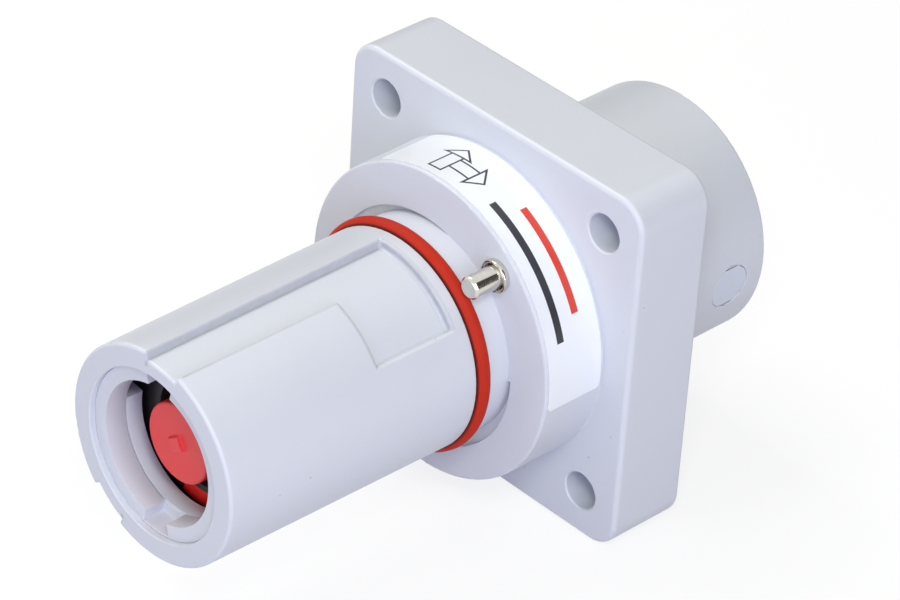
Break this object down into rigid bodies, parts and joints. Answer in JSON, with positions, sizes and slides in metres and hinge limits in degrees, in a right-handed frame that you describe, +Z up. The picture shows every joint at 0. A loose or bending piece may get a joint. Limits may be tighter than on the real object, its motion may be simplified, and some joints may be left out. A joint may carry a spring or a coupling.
{
  "type": "panel power connector",
  "caption": "Single pole high current panel connector with a square flange, a bayonet nose, a touch proof socket, a sprung locking pin and a tapped rear terminal.",
  "frame": {"origin": "on the connector's axis, in the plane of the flange's rear face, which lies on the panel", "axes": "+Y along the connector's axis from the nose to the terminal, +Z up, +X to the right seen from the front"},
  "size_m": [0.075, 0.129, 0.075],
  "materials": {
    "grey_plastic": "satin moulded",
    "red_plastic": "satin moulded",
    "plug_plastic": "smooth moulded",
    "silver_plated": "silver plated, turned",
    "spring_copper": "rolled strip",
    "nickel": "bright nickel plated",
    "steel": "zinc plated",
    "seal_rubber": "smooth silicone",
    "black_rubber": "smooth",
    "label_film": "smooth film"
  },
  "bodies": {
    "connector": {"housing": "grey_plastic", "coding_ring": "grey_plastic", "touch_post": "red_plastic", "guard_ring": "red_plastic", "post_screw": "steel", "socket_contact": "silver_plated", "contact_band_front": "spring_copper", "contact_band_rear": "spring_copper", "contact_seal_front_ring": "black_rubber", "contact_seal_rear_ring": "black_rubber", "locking_peg": "plug_plastic", "nose_seal": "seal_rubber", "pin_bush": "nickel", "pin_spring": "steel", "label": "label_film"},
    "pin": {"locking_pin": "nickel"}
  },
  "joints": [
    {"name": "pin_press", "type": "slide", "parent": "connector", "child": "pin", "axis": [0, 1, 0], "range_m": [0, 0.007], "stiffness_N_per_m": 600, "springref_m": -0.006, "deforming": ["pin_spring"]}
  ]
}
